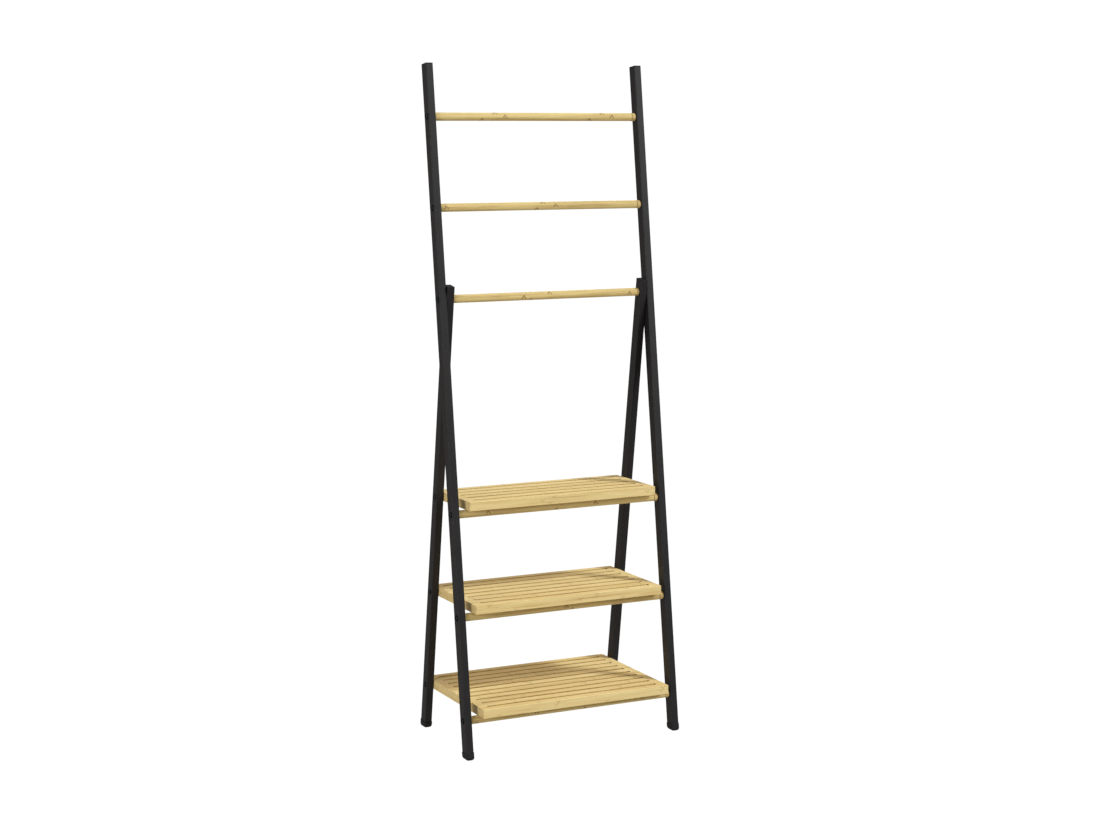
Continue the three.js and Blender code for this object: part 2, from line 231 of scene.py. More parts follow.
@dataclass(frozen=True)
class LacqueredBamboo(Finish):
    """Strip-laminated bamboo, planed or turned and sealed with a satin clear lacquer.

    Long pale fibres, strips of slightly different straw tones, and the stem's brown nodes,
    which lie at other places in each strip. Turned pieces are matte: their cut fibres spread
    the light, so that a dowel looks flatter across than a smooth one. A real bundle of fibres
    is about half a millimetre wide, and is drawn wider so that it shows.
    """

    name: str = "Bamboo, laminated and lacquered"
    pale: str = "ecd59d"
    straw: str = "dcc082"
    brown: str = "b89056"
    node: str = "8e6634"
    stops: tuple[float, float, float] = (0.28, 0.46, 0.68)
    fibre: Pattern = Pattern((45.0, 0.9, 0.9), 3.0, 0.62)
    fibre_strength: float = 0.25
    fibre_depth_mm: float = 0.12
    streak: Pattern = Pattern((160.0, 5.0, 5.0))
    strip_contrast: float = 0.1
    node_spacing_mm: float = 250.0
    node_width_mm: float = 2.6
    node_core: float = 0.2
    node_gap_mm: float = 9.0
    node_bend: float = 0.02
    node_strength: float = 0.2
    roughness: tuple[float, float] = (0.56, 0.7)
    matte: float = 0.0
    gloss: float = 0.2
    ior: float = 1.5

    def inputs(self, tree: bpy.types.NodeTree) -> dict[str, object]:
        """Adds fibres, strip tones and nodes.

        Args:
            tree: The node tree.

        Returns:
            What feeds the shader.
        """
        fibre = self.fibre.add(tree)
        streak = self.streak.add(tree)
        grain = add_node(tree, "ShaderNodeUVMap", {}, uv_map=GRAIN_MAP)
        axes = add_node(tree, "ShaderNodeSeparateXYZ", {"Vector": grain.outputs["UV"]})
        strip = add_node(tree, "ShaderNodeMath", {0: axes.outputs["Y"]}, operation="FLOOR")
        dice = add_node(
            tree, "ShaderNodeTexWhiteNoise", {"W": strip.outputs[0]}, noise_dimensions="1D"
        )
        chance = dice.outputs["Value"]
        tone = self.strip_tone(tree, fibre, streak, chance)
        wood = add_node(tree, "ShaderNodeValToRGB", {"Fac": tone})
        colour = add_node(tree, "ShaderNodeMix", {
            "Factor": self.node_mark(tree, axes, chance, streak),
            "A": set_stops(wood, tuple(zip(self.stops, (self.brown, self.straw, self.pale)))),
            "B": linear(self.node),
        }, data_type="RGBA")
        low, high = self.roughness
        rough = add_node(
            tree, "ShaderNodeMapRange", {"Value": fibre, "To Min": low, "To Max": high}
        )
        bump = add_node(tree, "ShaderNodeBump", {
            "Height": fibre, "Strength": self.fibre_strength, "Distance": self.fibre_depth_mm * MM,
        })
        return {
            "Base Color": colour.outputs["Result"],
            "Roughness": rough.outputs["Result"],
            "Diffuse Roughness": self.matte,
            "IOR": self.ior,
            "Specular IOR Level": self.gloss,
            "Normal": bump.outputs["Normal"],
        }

    def strip_tone(
        self,
        tree: bpy.types.NodeTree,
        fibre: bpy.types.NodeSocket,
        streak: bpy.types.NodeSocket,
        chance: bpy.types.NodeSocket,
    ) -> bpy.types.NodeSocket:
        """Averages fibre and streak and shifts the result by the strip's own tone.

        Args:
            tree: The node tree.
            fibre: The fine noise.
            streak: The broad noise.
            chance: A random value for each strip.

        Returns:
            The tone, dark to pale.
        """
        both = add_node(tree, "ShaderNodeMath", {0: fibre, 1: streak}, operation="ADD")
        shift = add_node(
            tree, "ShaderNodeMath",
            {0: chance, 1: self.strip_contrast, 2: -self.strip_contrast / 2},
            operation="MULTIPLY_ADD",
        )
        tone = add_node(
            tree, "ShaderNodeMath", {0: both.outputs[0], 1: 1 / 2, 2: shift.outputs[0]},
            operation="MULTIPLY_ADD",
        )
        return tone.outputs[0]

    def node_mark(
        self,
        tree: bpy.types.NodeTree,
        axes: bpy.types.Node,
        chance: bpy.types.NodeSocket,
        streak: bpy.types.NodeSocket,
    ) -> bpy.types.NodeSocket:
        """Marks the nodes: a V of two thin lines once in every node spacing.

        The lines are the node's ridge and the scar of its sheath. Where they lie along the
        strip is the strip's own chance, and they part across it: each is half the gap times
        the fraction of the strip's width from their middle.

        Args:
            tree: The node tree.
            axes: The place along the fibre in node spacings as X, and in strips as Y.
            chance: A random value for each strip.
            streak: Broad noise that bends the line and makes it uneven.

        Returns:
            How much of the node's colour shows.
        """
        across = add_node(tree, "ShaderNodeMath", {0: axes.outputs["Y"]}, operation="FRACT")
        part = -self.node_gap_mm / self.node_spacing_mm / 2
        value = axes.outputs["X"]
        for operation, own_input, others in (
            ("ADD", 0, {1: chance}),
            ("MULTIPLY_ADD", 2, {0: streak, 1: self.node_bend}),
            ("FRACT", 0, {}),
            ("SUBTRACT", 0, {1: 1 / 2}),
            ("ABSOLUTE", 0, {}),
            ("MULTIPLY_ADD", 2, {0: across.outputs[0], 1: part}),
            ("ABSOLUTE", 0, {}),
        ):
            step = add_node(
                tree, "ShaderNodeMath", {own_input: value, **others}, operation=operation
            )
            value = step.outputs[0]
        reach = self.node_width_mm / self.node_spacing_mm
        mark = add_node(tree, "ShaderNodeMapRange", {
            "Value": value,
            "From Min": self.node_core * reach,
            "From Max": reach,
            "To Min": self.node_strength,
            "To Max": 0.0,
        }, interpolation_type="SMOOTHSTEP")
        return mark.outputs["Result"]


@dataclass(frozen=True)
class PatternedStock(Finish):
    """Stock of one material whose colour and roughness follow one fine pattern."""

    colour: str
    light_colour: str
    roughness: tuple[float, float]
    pattern: Pattern
    blend: tuple[float, float] = (0.35, 0.65)

    def follow(
        self, tree: bpy.types.NodeTree, pattern: bpy.types.NodeSocket
    ) -> dict[str, object]:
        """Lets colour and roughness go from their first to their second value with a pattern.

        Args:
            tree: The node tree.
            pattern: The pattern's value.

        Returns:
            What feeds the shader's colour and roughness.
        """
        ramp = add_node(tree, "ShaderNodeValToRGB", {"Fac": pattern})
        low, high = self.roughness
        rough = add_node(
            tree, "ShaderNodeMapRange", {"Value": pattern, "To Min": low, "To Max": high}
        )
        return {
            "Base Color": set_stops(
                ramp, tuple(zip(self.blend, (self.colour, self.light_colour)))
            ),
            "Roughness": rough.outputs["Result"],
        }


@dataclass(frozen=True)
class PowderCoatedSteel(PatternedStock):
    """Steel tube with a baked satin black powder coat: a faint orange peel softens the gloss."""

    name: str = "Steel, satin black powder coat"
    colour: str = "161415"
    light_colour: str = "1a181a"
    roughness: tuple[float, float] = (0.4, 0.48)
    pattern: Pattern = Pattern((60.0, 60.0, 60.0))
    blend: tuple[float, float] = (0.3, 0.7)
    peel: Pattern = Pattern((1.6, 1.6, 1.6))
    peel_strength: float = 0.12
    peel_depth_mm: float = 0.05
    gloss: float = 0.3
    ior: float = 1.5

    def inputs(self, tree: bpy.types.NodeTree) -> dict[str, object]:
        """Adds cloudy colour and gloss and the orange peel's bump.

        Args:
            tree: The node tree.

        Returns:
            What feeds the shader.
        """
        bump = add_node(tree, "ShaderNodeBump", {
            "Height": self.peel.add(tree),
            "Strength": self.peel_strength,
            "Distance": self.peel_depth_mm * MM,
        })
        return {
            **self.follow(tree, self.pattern.add(tree)),
            "IOR": self.ior,
            "Specular IOR Level": self.gloss,
            "Normal": bump.outputs["Normal"],
        }


@dataclass(frozen=True)
class MouldedPlastic(PatternedStock):
    """Injection-moulded plastic: a dull black with the mould's fine spark-eroded grain.

    The real grain is a few tenths of a millimetre at most, and is drawn coarser so that it
    shows.
    """

    pattern: Pattern = Pattern((0.9, 0.9, 0.9), 3.0, 0.6)
    grain_strength: float = 0.2
    grain_depth_mm: float = 0.04
    gloss: float = 0.3
    ior: float = 1.49

    def inputs(self, tree: bpy.types.NodeTree) -> dict[str, object]:
        """Adds the mould's grain to bump, colour and roughness.

        Args:
            tree: The node tree.

        Returns:
            What feeds the shader.
        """
        grain = self.pattern.add(tree)
        bump = add_node(tree, "ShaderNodeBump", {
            "Height": grain, "Strength": self.grain_strength, "Distance": self.grain_depth_mm * MM,
        })
        return {
            **self.follow(tree, grain),
            "IOR": self.ior,
            "Specular IOR Level": self.gloss,
            "Normal": bump.outputs["Normal"],
        }


@dataclass(frozen=True)
class BlackZincSteel(PatternedStock):
    """Socket screws in black zinc: dark metal with soft, slightly patchy reflections."""

    name: str = "Steel, black zinc plated"
    colour: str = "2a2a2c"
    light_colour: str = "343436"
    roughness: tuple[float, float] = (0.34, 0.46)
    pattern: Pattern = Pattern((2.5, 2.5, 2.5))

    def inputs(self, tree: bpy.types.NodeTree) -> dict[str, object]:
        """Patchy plating over metal."""
        return {**self.follow(tree, self.pattern.add(tree)), "Metallic": 1.0}


@dataclass(frozen=True)
class LitFloor(Finish):
    """A white studio floor, lit from below: as bright all over as the backdrop behind it."""

    name: str = "Studio floor, lit from below"
    colour: str = "ffffff"
    surface: str = "000000"
    roughness: float = 0.9

    def inputs(self, tree: bpy.types.NodeTree) -> dict[str, object]:
        """Makes a surface that takes no light or shadow and gives its own white.

        Args:
            tree: The node tree.

        Returns:
            What feeds the shader.
        """
        return {
            "Base Color": linear(self.surface),
            "Roughness": self.roughness,
            "Specular IOR Level": 0.0,
            "Emission Color": linear(self.colour),
            "Emission Strength": WHITE_STRENGTH,
        }


Book = dict[tuple[Slot, Tone], bpy.types.Material]

# Dark browns for the slot ends, where end grain is darkened further as painted shade, and for the
# dowels' grooves, as painted shade.
END_GRAIN_AND_SHADE = ("80602f", "6c4e26", "4e381a")
FINISHES: dict[tuple[Slot, Tone], Finish] = {
    (Slot.PAINT, Tone.FACE): PowderCoatedSteel(),
    (Slot.BAMBOO, Tone.FACE): LacqueredBamboo(),
    (Slot.BAMBOO, Tone.DOWEL): LacqueredBamboo(
        "Bamboo, turned dowels", "e3d195", "d3bc7e", "ae8c53",
        node_width_mm=2.2, node_strength=0.8, matte=1.0,
    ),
    (Slot.BAMBOO, Tone.EDGE): LacqueredBamboo(
        "Bamboo, edges of boards", "dbc68e", "ccb278", "a8844e", node_strength=0.3
    ),
    # Painted shade: the slot walls are darker than the faces.
    (Slot.BAMBOO, Tone.ROUTED): LacqueredBamboo(
        "Bamboo, routed slot walls", "c0a062", "ac8c52", "88683a"
    ),
    # The slot ends: end grain, darkened further as painted shade.
    (Slot.BAMBOO, Tone.SLOT_END): LacqueredBamboo("Bamboo, routed end grain", *END_GRAIN_AND_SHADE),
    # Painted shade: the bead at each dowel's +X end is a little darker than the dowel, next to the
    # right post.
    (Slot.BAMBOO, Tone.BEAD): LacqueredBamboo(
        "Bamboo, turned ends", "dfc98d", "cdb275", "a5844d", matte=1.0
    ),
    # Painted shade: the groove behind that bead is dark.
    (Slot.BAMBOO, Tone.SEAM): LacqueredBamboo("Bamboo, turned grooves", *END_GRAIN_AND_SHADE),
    (Slot.PLASTIC, Tone.FACE): MouldedPlastic(
        "Polypropylene, moulded black", "0c0c0d", "111112", (0.55, 0.7)
    ),
    (Slot.HARDWARE, Tone.FACE): BlackZincSteel(),
    (Slot.NYLON, Tone.FACE): MouldedPlastic(
        "Nylon, moulded black", "1c1c1d", "242426", (0.38, 0.5)
    ),
}


# Surfaces


@dataclass
class Patch:
    """One grid of surface points, with the grain's coordinates at each point.

    points is rows by columns by 3, in millimetres. grain is rows by columns by 2: the place
    along the fibre in node spacings, and the strip. tone is how the wood was worked there.
    """

    points: np.ndarray
    grain: np.ndarray | None = None
    tone: Tone = Tone.FACE

    def quads(self) -> np.ndarray:
        """Gives the corner indices of every cell of the grid.

        Returns:
            Cells by 4, going round each cell.
        """
        rows, columns = self.points.shape[:2]
        index = np.arange(rows * columns).reshape(rows, columns)
        return np.stack(
            (index[:-1, :-1], index[:-1, 1:], index[1:, 1:], index[1:, :-1]), axis=-1
        ).reshape(-1, 4)


@dataclass(frozen=True)
class Placement:
    """A frame's place: turned about X by turn, then moved to the pivot line."""

    turn: float
    y: float
    z: float

    def carry(self, points: np.ndarray, x: float = 0.0) -> np.ndarray:
        """Moves points from the frame's own axes to the rack's.

        y becomes y cos(turn) - z sin(turn) and z becomes y sin(turn) + z cos(turn), and then
        the pivot's place is added.

        Args:
            points: Points in millimetres, along the last axis.
            x: Where the piece's own middle lies along X.

        Returns:
            The points in the rack's axes, in millimetres.
        """
        cos, sin = math.cos(self.turn), math.sin(self.turn)
        return np.stack((
            points[..., 0] + x,
            points[..., 1] * cos - points[..., 2] * sin + self.y,
            points[..., 1] * sin + points[..., 2] * cos + self.z,
        ), axis=-1)


def make_mesh(name: str, patches: Sequence[Patch], tones: Sequence[Tone]) -> bpy.types.Mesh:
    """Joins patches into one closed mesh with outward faces.

    Args:
        name: The mesh's name.
        patches: The patches, whose borders meet.
        tones: The tones in the order of the mesh's materials.

    Returns:
        The mesh, in metres.
    """
    starts = np.cumsum([0] + [patch.points.size // 3 for patch in patches[:-1]])
    points = np.concatenate([patch.points.reshape(-1, 3) for patch in patches]) * MM
    quads = np.concatenate([patch.quads() + start for patch, start in zip(patches, starts)])
    mesh = bpy.data.meshes.new(name)
    mesh.from_pydata(points, [], quads)
    faces = [len(patch.quads()) for patch in patches]
    finish = np.repeat([tones.index(patch.tone) for patch in patches], faces)
    mesh.polygons.foreach_set("material_index", finish.astype(np.int32))
    if all(patch.grain is not None for patch in patches):
        grain = np.concatenate([patch.grain.reshape(-1, 2) for patch in patches])
        layer = mesh.uv_layers.new(name=GRAIN_MAP)
        layer.uv.foreach_set("vector", grain[quads.ravel()].astype(np.float32).ravel())
    work = bmesh.new()
    work.from_mesh(mesh)
    bmesh.ops.remove_doubles(work, verts=work.verts, dist=MERGE_DISTANCE)
    bmesh.ops.dissolve_degenerate(work, edges=work.edges, dist=MERGE_DISTANCE)
    bmesh.ops.recalc_face_normals(work, faces=work.faces)
    work.to_mesh(mesh)
    work.free()
    mesh.shade_smooth()
    mesh.set_sharp_from_angle(angle=SHARP_ANGLE)
    return mesh


def body_of(node: str) -> str:
    """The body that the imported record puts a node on."""
    bodies = frame["record"]["behaviour"]["bodies"]
    return next(body for body, members in bodies.items() if node in members)


def place_piece(node: str, word: str, patches: Sequence[Patch], slot: Slot, book: Book) -> None:
    """Makes a piece that stands for a node and rides on its body.

    Args:
        node: The CAD node that it replaces, which its name starts with.
        word: The end of its name.
        patches: Its surface.
        slot: The record's slot that it takes its finish from.
        book: The finished materials.
    """
    name = f"{node}_{word}"
    tones = sorted({patch.tone for patch in patches}, key=lambda tone: tone.value)
    mesh = make_mesh(name, patches, tones)
    for tone in tones:
        mesh.materials.append(book[slot, tone])
    piece = bpy.data.objects.new(name, mesh)
    bpy.context.scene.collection.objects.link(piece)
    weighted = piece.modifiers.new("Flat faces stay flat", "WEIGHTED_NORMAL")
    weighted.keep_sharp = True
    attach(piece, body_of(node))
    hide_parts(node)
    log.info("%s: %d faces on %s", name, len(mesh.polygons), body_of(node))


def pairs(first: float | np.ndarray, second: float | np.ndarray) -> np.ndarray:
    """Points by 2 from two coordinates, each of them one value or an array."""
    return np.stack(np.broadcast_arrays(first, second), axis=-1)


def turned_loop(half: np.ndarray, y: float) -> np.ndarray:
    """Half a loop, the same half turned about (0, y), and the first point again."""
    return np.concatenate((half, np.array([0, 2 * y]) - half, half[:1]))


def quarter_round(across: float, down: float, steps: int) -> tuple[np.ndarray, np.ndarray]:
    """Steps along a quarter of an ellipse that rounds an edge.

    At angle a the surface lies across times (1 - sin a) from one of the two faces that meet
    in the edge, and down times (1 - cos a) from the other.

    Args:
        across: How far the rounding reaches from the first face.
        down: How far it reaches from the second.
        steps: Segments in the quarter.

    Returns:
        The distances from the first face, and those from the second.
    """
    angle = np.linspace(0, QUARTER, steps + 1)
    return across * (1 - np.sin(angle)), down * (1 - np.cos(angle))


def rounded_rectangle(width: float, depth: float, corner: float, steps: int) -> np.ndarray:
    """A closed loop round a rectangle whose corners are quarter circles.

    Each corner's points are its centre plus the corner radius times (cos a, sin a).

    Args:
        width: Size along X.
        depth: Size along Y.
        corner: Corner radius.
        steps: Segments in each corner.

    Returns:
        Points by 2, the first one repeated at the end.
    """
    quarter = np.linspace(0, QUARTER, steps + 1)
    angle = (np.arange(4)[:, None] * QUARTER + quarter).ravel()
    signs = np.repeat(np.array([[1, 1], [-1, 1], [-1, -1], [1, -1]]), steps + 1, axis=0)
    centres = signs * (np.array([width, depth]) / 2 - corner)
    loop = centres + corner * pairs(np.cos(angle), np.sin(angle))
    return np.concatenate((loop, loop[:1]))


def loops_to_patch(loops: Sequence[np.ndarray], heights: Sequence[float | np.ndarray]) -> Patch:
    """Stacks loops at heights into one skin.

    Args:
        loops: Loops of the same length, points by 2, or one point that is repeated.
        heights: Each loop's height, one value or one for each point.

    Returns:
        The skin.
    """
    count = max(len(np.atleast_2d(loop)) for loop in loops)
    rows = []
    for loop, height in zip(loops, heights):
        flat = np.broadcast_to(np.atleast_2d(loop), (count, 2))
        level = np.broadcast_to(height, (count,))
        rows.append(np.concatenate((flat, level[:, None]), axis=1))
    return Patch(np.stack(rows))


def revolve(profile: Sequence[tuple[float | np.ndarray, float]], sides: int) -> np.ndarray:
    """Turns a profile about X: a point at radius r and place x goes to (x, r cos a, r sin a).

    Args:
        profile: Pairs of radius and place along X. A radius is one value, or one for each angle.
        sides: Segments round the axis.

    Returns:
        Points, rows by columns by 3.
    """
    angle = np.linspace(0, 2 * math.pi, sides + 1)
    radius = np.stack([np.broadcast_to(value, angle.shape) for value, _ in profile])
    place = np.array([value for _, value in profile])[:, None]
    return np.stack(
        np.broadcast_arrays(place, radius * np.cos(angle), radius * np.sin(angle)), axis=-1
    )


# Sub-assemblies, in millimetres


@dataclass(frozen=True)
class Bar:
    """A leaning bar: a rectangular tube with a flush plug above and a slip-on foot below."""

    kind: str
    side: Side
    x: float
    placement: Placement
    top: float
    width: float = 16.0
    depth: float = 24.0
    wall: float = 1.2
    corner: float = 1.6
    inside_corner: float = 0.4
    corner_steps: int = 6
    rim: float = 0.25
    plug_plate: float = 1.5
    plug_insert: float = 12.0
    plug_easing: float = 0.5
    foot_height: float = 15.0
    foot_wall: float = 0.8
    foot_sole: float = 5.0
    foot_corner: float = 2.6
    foot_rim: float = 0.3
    sole_inset: float = 4.0
    sole_height: float = 7.0
    cap_gap: float = 0.2
    rounding_steps: int = 5

    def along(self, height: float) -> float:
        """How far along the bar its axis meets a height above the floor."""
        return (height - self.placement.z) / math.cos(self.placement.turn)

    def ring(self, grow: float, corner: float) -> np.ndarray:
        """The tube's outline moved out by grow, with corners of the given radius."""
        return rounded_rectangle(
            self.width + 2 * grow, self.depth + 2 * grow, corner, self.corner_steps
        )

    def eased(
        self, grow: float, corner: float, easing: float, top: float
    ) -> tuple[list[np.ndarray], list[float]]:
        """An outline that rounds inwards to a top edge along a quarter circle.

        Args:
            grow: How far outside the tube's outline it starts.
            corner: The corners' radius where it starts.
            easing: The quarter circle's radius.
            top: Where it ends along the bar.

        Returns:
            The loops and their heights.
        """
        drops, insets = quarter_round(easing, easing, self.rounding_steps)
        return [self.ring(grow - inset, corner - inset) for inset in insets], [*(top - drops)]

    def levelled(self, patch: Patch, below: float) -> Patch:
        """Turns a skin's lower part level with the floor.

        Below the given place, z becomes z - y tan(turn).

        Args:
            patch: The skin in the bar's axes.
            below: Where the lower part ends.

        Returns:
            The skin, changed in place.
        """
        points = patch.points
        shear = points[..., 1] * math.tan(self.placement.turn)
        points[..., 2] -= np.where(points[..., 2] < below, shear, 0)
        return patch

    def tube(self) -> Patch:
        """Makes the tube's wall: outer skin, eased upper rim, inner skin, level lower rim.

        Returns:
            The skin in the bar's axes.
        """
        low = self.along(self.foot_sole + SLIP_GAP)
        high = self.top - self.plug_plate - SLIP_GAP
        outer = self.ring(0, self.corner)
        eased = self.ring(-self.rim, self.corner - self.rim)
        inner = self.ring(-self.wall, self.inside_corner)
        patch = loops_to_patch(
            (outer, outer, eased, inner, inner, outer),
            (low, high - self.rim, high, high, low, low),
        )
        return self.levelled(patch, (low + high) / 2)

    def plug(self) -> Patch:
        """Makes the plug: an insert inside the tube and a plate over it with an eased edge.

        Returns:
            The skin in the bar's axes.
        """
        base = self.top - self.plug_plate
        insert = self.ring(-self.wall - SLIP_GAP, self.inside_corner)
        edge, edge_heights = self.eased(0, self.corner, self.plug_easing, self.top)
        return loops_to_patch(
            [ORIGIN_2D, insert, insert, self.ring(0, self.corner), *edge, ORIGIN_2D],
            [base - self.plug_insert, base - self.plug_insert, base, base, *edge_heights, self.top],
        )

    def foot(self) -> Patch:
        """Makes the foot: a cup with a rounded level sole and a pocket for the tube.

        Returns:
            The skin in the bar's axes.
        """
        floor = self.along(0)
        rim_top = floor + self.foot_height
        grow = self.cap_gap + self.foot_wall
        insets, rises = quarter_round(self.sole_inset, self.sole_height, 2 * self.rounding_steps)
        sole = [self.ring(grow - inset, self.foot_corner) for inset in insets]
        rim, rim_heights = self.eased(grow, self.foot_corner, self.foot_rim, rim_top)
        pocket = self.ring(self.cap_gap, self.corner)
        pocket_low = self.along(self.foot_sole)
        patch = loops_to_patch(
            [ORIGIN_2D, *sole, *rim, pocket, pocket, ORIGIN_2D],
            [floor, *(floor + rises), *rim_heights, rim_top, pocket_low, pocket_low],
        )
        return self.levelled(patch, floor + self.foot_height / 2)

    def build(self, book: Book) -> None:
        """Builds and dresses the bar's three pieces.

        Args:
            book: The finished materials.
        """
        for part, patch, slot in (
            ("", self.tube(), Slot.PAINT),
            ("_plug", self.plug(), Slot.PLASTIC),
            ("_foot", self.foot(), Slot.PLASTIC),
        ):
            placed = Patch(self.placement.carry(patch.points, self.x))
            place_piece(f"{self.kind}{part}_{self.side.word}", "skin", [placed], slot, book)


@dataclass(frozen=True)
class Washer:
    """A thin flat ring along X with eased edges, loose on the shank that it is for."""

    shank: float
    diameter: float = 14.0
    thickness: float = 0.5
    easing: float = 0.12
    sides: int = 48

    def surface(self) -> np.ndarray:
        """Turns an eased rectangle about X, centred on x = 0.

        Returns:
            Points, rows by columns by 3.
        """
        half, ease = self.thickness / 2, self.easing
        inner, outer = self.shank / 2 + SLIP_GAP, self.diameter / 2
        outline = [
            (inner + ease, -half), (outer - ease, -half), (outer, -half + ease),
            (outer, half - ease), (outer - ease, half), (inner + ease, half),
            (inner, half - ease), (inner, -half + ease), (inner + ease, -half),
        ]
        return revolve(outline, self.sides)


@dataclass(frozen=True)
class ButtonBolt:
    """A button-head socket bolt along X: shank, low dome and hexagon socket.

    rim and crown are shares of the head's height and radius. cone is the depth of the
    socket's drilled tip as a share of its width.
    """

    shank: float
    head: float
    head_height: float
    socket: float
    socket_depth: float
    grip: float
    rim: float = 0.35
    crown: float = 0.42
    cone: float = 0.125
    tip: float = 0.6
    sides: int = 48
    dome_steps: int = 8

    def surface(self, side: Side, length: float) -> np.ndarray:
        """Makes the bolt with its seat at x = 0 and its head out to one side.

        The dome is a quarter of an ellipse from the rim to the crown. The socket's radius at
        angle a is half its width over flats, divided by the cosine of the angle to the flat.

        Args:
            side: The side that the head looks to.
            length: The shank's length under the head.

        Returns:
            Points, rows by columns by 3.
        """
        shank, head, top = self.shank / 2, self.head / 2, self.head_height
        rim, crown = top * self.rim, head * self.crown
        turn = np.linspace(0, QUARTER, self.dome_steps + 1)
        dome = pairs(crown + (head - crown) * np.cos(turn), rim + (top - rim) * np.sin(turn))
        to_flat = np.mod(np.linspace(0, 2 * math.pi, self.sides + 1), math.pi / 3) - math.pi / 6
        hexagon = self.socket / 2 / np.cos(to_flat)
        floor = top - self.socket_depth
        points = revolve([
            (0, -length), (shank - self.tip, -length), (shank, -length + self.tip),
            (shank, 0), (head, 0), *dome,
            (hexagon, top), (hexagon, floor), (0, floor - self.socket * self.cone),
        ], self.sides)
        points[..., 0] *= side.value
        return points


BOLT = ButtonBolt(
    shank=6.0, head=13.0, head_height=3.0, socket=4.0, socket_depth=1.6, grip=24.0
)
SCREW = ButtonBolt(
    shank=5.0, head=12.0, head_height=2.6, socket=3.0, socket_depth=1.3, grip=15.0
)


@dataclass(frozen=True)
class Layers:
    """Where the rack's layers meet along X: a post, a washer, a leg, a washer and a board."""

    post_outer: float = 250.0
    post_inner: float = post_outer - Bar.width
    leg_outer: float = post_inner - Washer.thickness
    leg_inner: float = leg_outer - Bar.width
    board_end: float = leg_inner - Washer.thickness


@dataclass(frozen=True)
class Dowel:
    """A turned bamboo dowel with rounded ends, a groove behind each bead and blind bores.

    first_strip and grain_shift give it wood of its own: the number of its first strip, and
    how many node spacings its grain is moved along.
    """

    node: str
    placement: Placement
    z: float
    reach: float
    bead: float
    first_strip: int
    grain_shift: float
    radius: float = 8.5
    rounding: float = 2.0
    groove_width: float = 1.2
    groove_depth: float = 0.6
    bore_radius: float = BOLT.shank / 2 + SLIP_GAP
    bore_depth: float = BOLT.grip + BORE_GAP
    sides: int = 64
    strips: int = 7
    rounding_steps: int = 6
    groove_steps: int = 8
    half_body_rows: int = 12

    def half_profile(self) -> np.ndarray:
        """Makes the profile from the bore's floor at the +X end to the middle of the dowel.

        The end is a quarter circle. The groove is a cosine dip: its depth times half of
        (1 + cos) across its width.

        Returns:
            Pairs of radius and place along X.
        """
        floor = self.reach - self.bore_depth
        bore = np.array([(0, floor), (self.bore_radius, floor), (self.bore_radius, self.reach)])
        insets, drops = quarter_round(self.rounding, self.rounding, self.rounding_steps)
        end = pairs(self.radius - insets, self.reach - drops)
        across = np.linspace(1, -1, self.groove_steps + 1)
        groove = pairs(
            self.radius - self.groove_depth * (1 + np.cos(math.pi * across)) / 2,
            self.reach - self.bead + across * self.groove_width / 2,
        )
        run = np.linspace(groove[-1, 1], 0, self.half_body_rows + 1)[1:]
        return np.concatenate((bore, end, groove, pairs(self.radius, run)))

    def surfaces(self) -> list[Patch]:
        """Turns the half profile and its mirror image about X.

        The bead and groove at the +X end have darker tones as painted shade from the right post; the
        -X end keeps the dowel's tone.

        Returns:
            Bead, groove and the rest of the dowel.
        """
        half = self.half_profile()
        profile = np.concatenate((half, half[-2::-1] * [1, -1]))
        points = revolve(profile, self.sides)
        strip = np.linspace(0, self.strips, self.sides + 1) + self.first_strip
        along = points[..., 0] / LacqueredBamboo.node_spacing_mm + self.grain_shift
        grain = pairs(along, strip)
        placed = self.placement.carry(points + np.array([0, 0, self.z]))
        groove_end = len(half) - self.half_body_rows - 1
        groove_start = groove_end - self.groove_steps
        # Bead and groove at the +X end take the painted-shade tones; the rest, the -X end too, takes
        # the dowel's tone.
        return [
            Patch(placed[low:high + 1], grain[low:high + 1], tone)
            for low, high, tone in (
                (0, groove_start, Tone.BEAD),
                (groove_start, groove_end, Tone.SEAM),
                (groove_end, len(profile) - 1, Tone.DOWEL),
            )
        ]

    def build(self, book: Book) -> None:
        """Builds and dresses the dowel and its two bolts, seated on the posts' outer faces.

        Args:
            book: The finished materials.
        """
        place_piece(self.node, "dowel", self.surfaces(), Slot.BAMBOO, book)
        length = Layers.post_outer - self.reach + BOLT.grip
        for side in Side:
            points = BOLT.surface(side, length) + np.array([0, 0, self.z])
            seat = self.placement.carry(points, side.value * Layers.post_outer)
            node = f"{self.node}_bolt_{side.word}"
            place_piece(node, "head", [Patch(seat)], Slot.HARDWARE, book)


